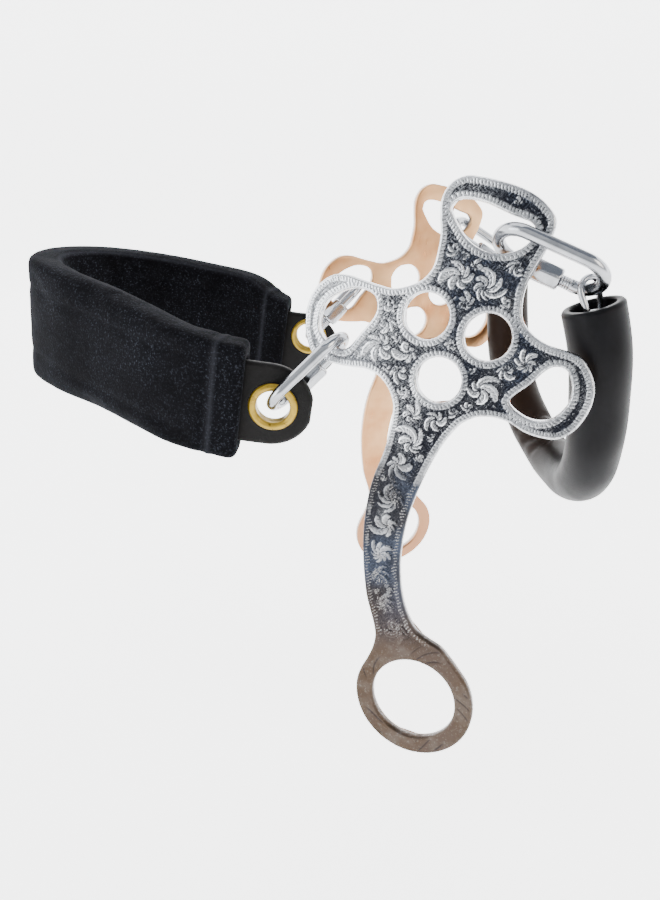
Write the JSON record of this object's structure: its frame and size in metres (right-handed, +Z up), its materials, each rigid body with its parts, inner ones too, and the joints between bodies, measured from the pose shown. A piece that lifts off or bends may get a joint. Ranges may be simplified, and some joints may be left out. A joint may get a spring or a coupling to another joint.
{
  "type": "mechanical hackamore bridle control",
  "caption": "Bitless mechanical hackamore: two flat engraved steel cheeks joined by a padded noseband and a rubber-sleeved curb chain on screw quick links.",
  "frame": {"origin": "inner face of the padded noseband halfway round, where the horse's nose bears", "axes": "+Z up, +X from the noseband back to the curb, +Y towards the horse's right side"},
  "size_m": [0.2385, 0.158, 0.2],
  "materials": {
    "bright_steel": "polished, hand-engraved outside",
    "warm_steel": "polished",
    "plated_steel": "bright zinc plate",
    "eyelet_brass": "lacquered",
    "strap_leather": "edge-finished black",
    "sleeve_velvet": "black pile",
    "curb_rubber": "satin"
  },
  "bodies": {
    "noseband": {"noseband_strap": "strap_leather", "noseband_sleeve": "sleeve_velvet", "left_eyelet": "eyelet_brass", "left_eyelet_washer": "eyelet_brass", "right_eyelet": "eyelet_brass", "right_eyelet_washer": "eyelet_brass"},
    "left_nose_link": {"left_nose_link": "plated_steel"},
    "left_nose_nut": {"left_nose_link_nut": "plated_steel"},
    "left_cheek": {"left_cheek": "bright_steel"},
    "left_curb_link": {"left_curb_link": "plated_steel"},
    "left_curb_nut": {"left_curb_link_nut": "plated_steel"},
    "right_nose_link": {"right_nose_link": "plated_steel"},
    "right_nose_nut": {"right_nose_link_nut": "plated_steel"},
    "right_cheek": {"right_cheek": "warm_steel"},
    "right_curb_link": {"right_curb_link": "plated_steel"},
    "right_curb_nut": {"right_curb_link_nut": "plated_steel"},
    "curb": {"curb_tube": "curb_rubber", "curb_chain_link_01": "plated_steel", "curb_chain_link_02": "plated_steel", "curb_chain_link_03": "plated_steel", "curb_chain_link_04": "plated_steel", "curb_chain_link_05": "plated_steel", "curb_chain_link_06": "plated_steel", "curb_chain_link_07": "plated_steel", "curb_chain_link_08": "plated_steel", "curb_chain_link_09": "plated_steel", "curb_chain_link_10": "plated_steel", "curb_chain_link_11": "plated_steel", "curb_chain_link_12": "plated_steel", "curb_chain_link_13": "plated_steel", "curb_chain_link_14": "plated_steel", "curb_chain_link_15": "plated_steel", "curb_chain_link_16": "plated_steel", "curb_chain_link_17": "plated_steel", "curb_chain_link_18": "plated_steel", "curb_chain_link_19": "plated_steel", "curb_chain_link_20": "plated_steel", "curb_chain_link_21": "plated_steel", "curb_chain_link_22": "plated_steel"}
  },
  "joints": [
    {"name": "left_nose_link_swing", "type": "hinge", "parent": "noseband", "child": "left_nose_link", "pos_m": [0.09591, -0.06468, -0.02181], "axis": [0.0802, 0.9927, 0.0905], "range_deg": [-15, 10]},
    {"name": "left_cheek_swing", "type": "hinge", "parent": "left_nose_link", "child": "left_cheek", "pos_m": [0.11999, -0.06214, 0.0012], "axis": [0.0702, 0.9931, 0.0942], "range_deg": [-9, 20]},
    {"name": "left_curb_link_swing", "type": "hinge", "parent": "left_cheek", "child": "left_curb_link", "pos_m": [0.16724, -0.07565, 0.03458], "axis": [0.0288, 0.9996, -0.0043], "range_deg": [-10, 2]},
    {"name": "left_nose_nut_travel", "type": "slide", "parent": "left_nose_link", "child": "left_nose_nut", "axis": [-0.7209, -0.0761, -0.6889], "range_m": [0, 0.0045]},
    {"name": "left_curb_nut_travel", "type": "slide", "parent": "left_curb_link", "child": "left_curb_nut", "axis": [0.8785, -0.2777, -0.3888], "range_m": [0, 0.0045]},
    {"name": "right_nose_link_swing", "type": "hinge", "parent": "noseband", "child": "right_nose_link", "pos_m": [0.103, 0.02308, -0.01381], "axis": [0.0802, 0.9927, 0.0905], "range_deg": [-15, 10]},
    {"name": "right_cheek_swing", "type": "hinge", "parent": "right_nose_link", "child": "right_cheek", "pos_m": [0.12632, 0.02747, 0.00969], "axis": [0.0702, 0.9931, 0.0942], "range_deg": [-9, 20]},
    {"name": "right_curb_link_swing", "type": "hinge", "parent": "right_cheek", "child": "right_curb_link", "pos_m": [0.17059, 0.04097, 0.03408], "axis": [0.0288, 0.9996, -0.0043], "range_deg": [-10, 2]},
    {"name": "right_nose_nut_travel", "type": "slide", "parent": "right_nose_link", "child": "right_nose_nut", "axis": [-0.6984, -0.1313, -0.7036], "range_m": [0, 0.0014]},
    {"name": "right_curb_nut_travel", "type": "slide", "parent": "right_curb_link", "child": "right_curb_nut", "axis": [0.8346, 0.2129, -0.5081], "range_m": [0, 0.0045]},
    {"name": "curb_swing", "type": "hinge", "parent": "left_curb_link", "child": "curb", "pos_m": [0.19473, -0.08029, 0.01941], "axis": [0.0094, 0.9995, -0.0315], "range_deg": [-12, 3]}
  ],
  "couplings": [
    {"joint": "right_nose_link_swing", "follows": "left_nose_link_swing", "ratio": 1},
    {"joint": "right_cheek_swing", "follows": "left_cheek_swing", "ratio": 1},
    {"joint": "right_curb_link_swing", "follows": "left_curb_link_swing", "ratio": 1}
  ]
}
